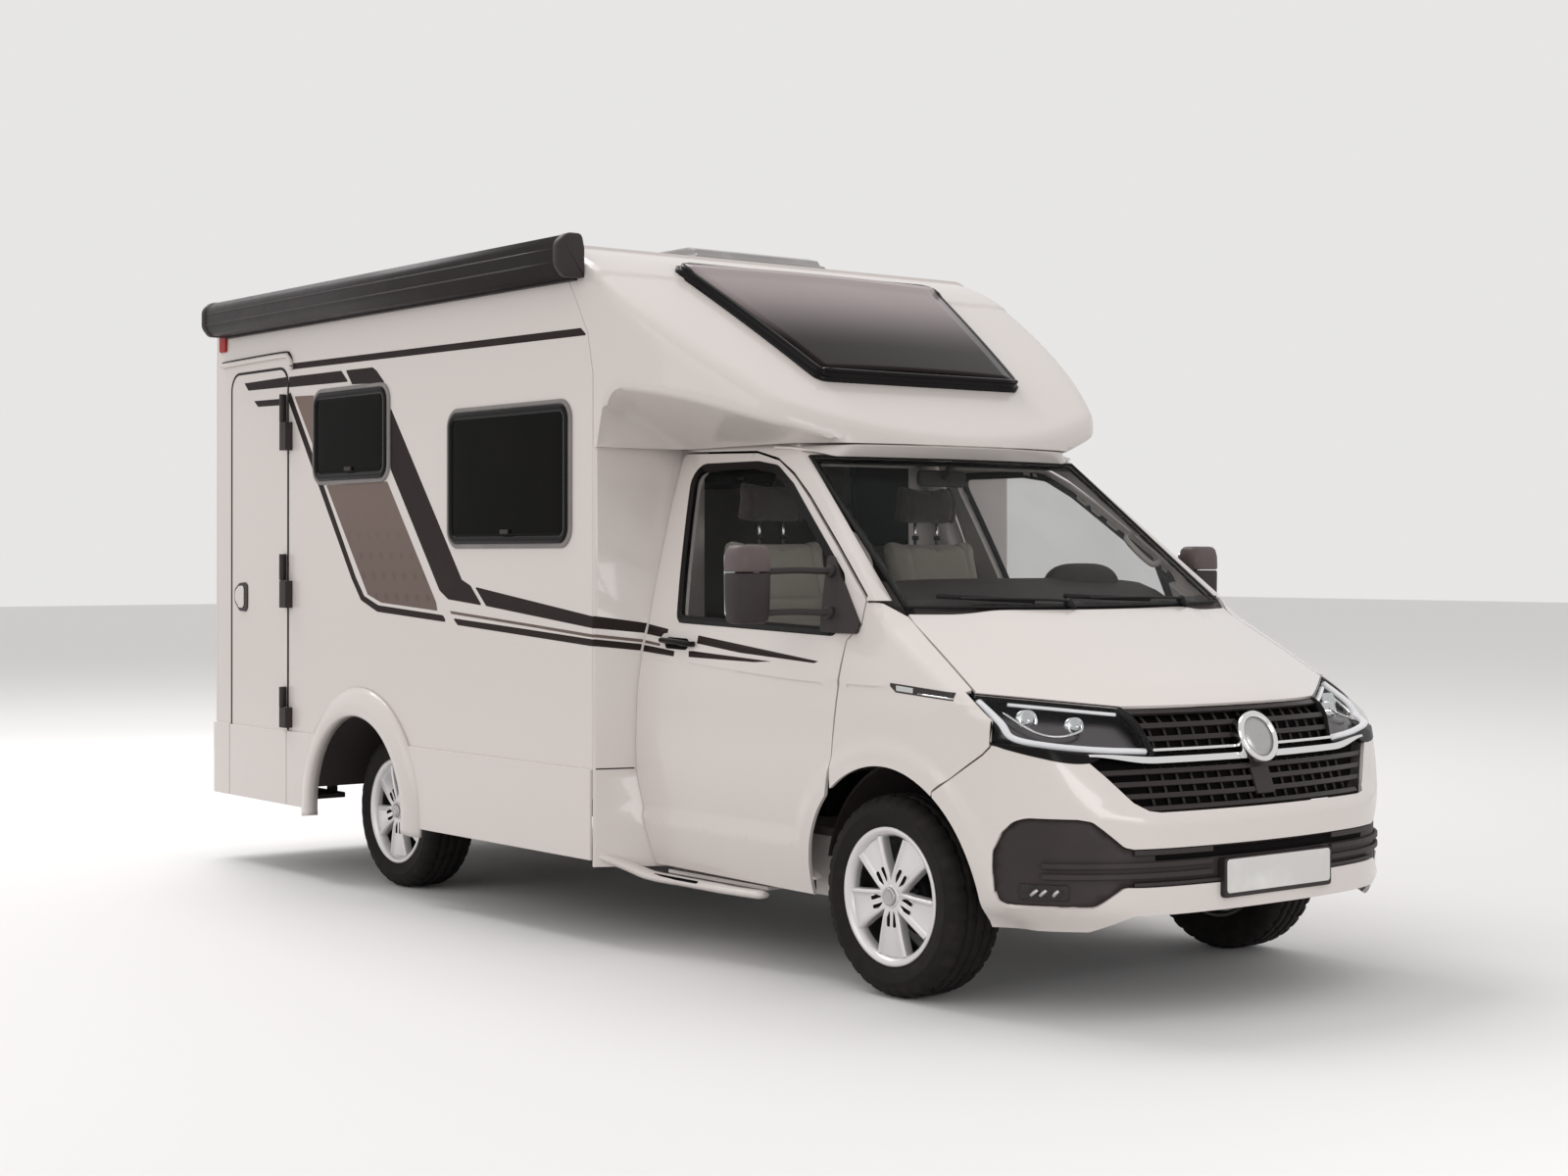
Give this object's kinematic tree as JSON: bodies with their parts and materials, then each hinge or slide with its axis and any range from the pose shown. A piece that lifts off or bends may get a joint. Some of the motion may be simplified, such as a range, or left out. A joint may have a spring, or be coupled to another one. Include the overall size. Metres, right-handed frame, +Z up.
{
  "type": "low-profile camper van",
  "caption": "Low-profile camper van: delivery-van cab with opening doors and bonnet, steered front wheels, panelled living body with entry door, nose hood with skylight, side awning.",
  "frame": {"origin": "on the ground under the middle of the vehicle's bounding box", "axes": "+X forward, +Y to the vehicle's left, +Z up"},
  "size_m": [5.88, 2.48, 2.797],
  "materials": {
    "body_paint": "gloss",
    "chassis_steel": "satin",
    "engine_metal": "matte",
    "floor_board": "matte",
    "black_plastic": "satin",
    "anthracite": "satin",
    "grey_plastic": "satin",
    "dark_glass": "gloss",
    "clear_glass": "gloss",
    "red_lens": "gloss",
    "seat_fabric": "woven",
    "headrest_fabric": "woven",
    "tyre_rubber": "matte",
    "alloy": "satin"
  },
  "bodies": {
    "van_body": {"chassis": "chassis_steel", "body_floor": "floor_board", "cab_floor": "floor_board", "engine_block": "engine_metal", "tank_and_exhaust": "chassis_steel", "front_suspension": "chassis_steel", "rear_suspension": "chassis_steel", "wheel_liners": "black_plastic", "side_wall_right": "body_paint", "side_wall_left": "body_paint", "rear_wall": "body_paint", "roof_panel": "body_paint", "nose_hood": "body_paint", "roof_hatch": "grey_plastic", "window_frames": "black_plastic", "window_panes": "dark_glass", "skirts": "body_paint", "arch_flares": "body_paint", "rear_lamps": "red_lens", "awning": "anthracite", "entry_hinges": "black_plastic", "windscreen_frame": "body_paint", "windscreen": "clear_glass", "cowl": "black_plastic", "front_wings": "body_paint", "front_bumper": "body_paint", "bumper_insert": "black_plastic", "grille": "black_plastic", "headlamps": "black_plastic", "lamp_lenses": "clear_glass", "b_panels": "body_paint", "cab_sills": "body_paint", "dashboard": "black_plastic", "seat_pedestals": "black_plastic", "seats": "seat_fabric", "headrests": "headrest_fabric"},
    "right_door": {"cab_door_right": "body_paint", "door_glass_right": "clear_glass", "mirror_right": "black_plastic"},
    "left_door": {"cab_door_left": "body_paint", "door_glass_left": "clear_glass", "mirror_left": "black_plastic"},
    "entry": {"entry_door": "body_paint"},
    "bonnet_lid": {"bonnet": "body_paint"},
    "steer_right": {"knuckle_right": "chassis_steel"},
    "steer_left": {"knuckle_left": "chassis_steel"},
    "wheel_front_right": {"tyre_front_right": "tyre_rubber", "rim_front_right": "alloy"},
    "wheel_front_left": {"tyre_front_left": "tyre_rubber", "rim_front_left": "alloy"},
    "wheel_rear_right": {"tyre_rear_right": "tyre_rubber", "rim_rear_right": "alloy"},
    "wheel_rear_left": {"tyre_rear_left": "tyre_rubber", "rim_rear_left": "alloy"},
    "hand_wheel": {"steering_wheel": "black_plastic"}
  },
  "joints": [
    {"name": "wheel_front_right_spin", "type": "hinge", "parent": "steer_right", "child": "wheel_front_right", "pos_m": [2.032, -0.815, 0.345], "axis": [0, 1, 0], "continuous": true},
    {"name": "wheel_front_left_spin", "type": "hinge", "parent": "steer_left", "child": "wheel_front_left", "pos_m": [2.032, 0.815, 0.345], "axis": [0, 1, 0], "continuous": true},
    {"name": "wheel_rear_right_spin", "type": "hinge", "parent": "van_body", "child": "wheel_rear_right", "pos_m": [-1.368, -0.815, 0.345], "axis": [0, 1, 0], "continuous": true},
    {"name": "wheel_rear_left_spin", "type": "hinge", "parent": "van_body", "child": "wheel_rear_left", "pos_m": [-1.368, 0.815, 0.345], "axis": [0, 1, 0], "continuous": true},
    {"name": "steering_right", "type": "hinge", "parent": "van_body", "child": "steer_right", "pos_m": [2.032, -0.705, 0.345], "axis": [0, 0, 1], "range_deg": [-33, 33]},
    {"name": "steering_left", "type": "hinge", "parent": "van_body", "child": "steer_left", "pos_m": [2.032, 0.705, 0.345], "axis": [0, 0, 1], "range_deg": [-33, 33]},
    {"name": "steering_wheel_turn", "type": "hinge", "parent": "van_body", "child": "hand_wheel", "pos_m": [1.392, 0.41, 1.09], "axis": [-0.8829, 0, 0.4695], "range_deg": [-530, 530]},
    {"name": "right_door_swing", "type": "hinge", "parent": "van_body", "child": "right_door", "pos_m": [1.868, -0.958, 0.85], "axis": [0, 0, 1], "range_deg": [0, 65]},
    {"name": "left_door_swing", "type": "hinge", "parent": "van_body", "child": "left_door", "pos_m": [1.868, 0.958, 0.85], "axis": [0, 0, -1], "range_deg": [0, 65]},
    {"name": "entry_door_swing", "type": "hinge", "parent": "van_body", "child": "entry", "pos_m": [-2.1, -1.126, 1.4], "axis": [0, 0, 1], "range_deg": [0, 95]},
    {"name": "bonnet_lift", "type": "hinge", "parent": "van_body", "child": "bonnet_lid", "pos_m": [2.012, 0, 1.3], "axis": [0, -1, 0], "range_deg": [0, 55]}
  ],
  "couplings": [
    {"joint": "steering_left", "follows": "steering_right", "ratio": 1},
    {"joint": "steering_wheel_turn", "follows": "steering_right", "ratio": 16}
  ]
}
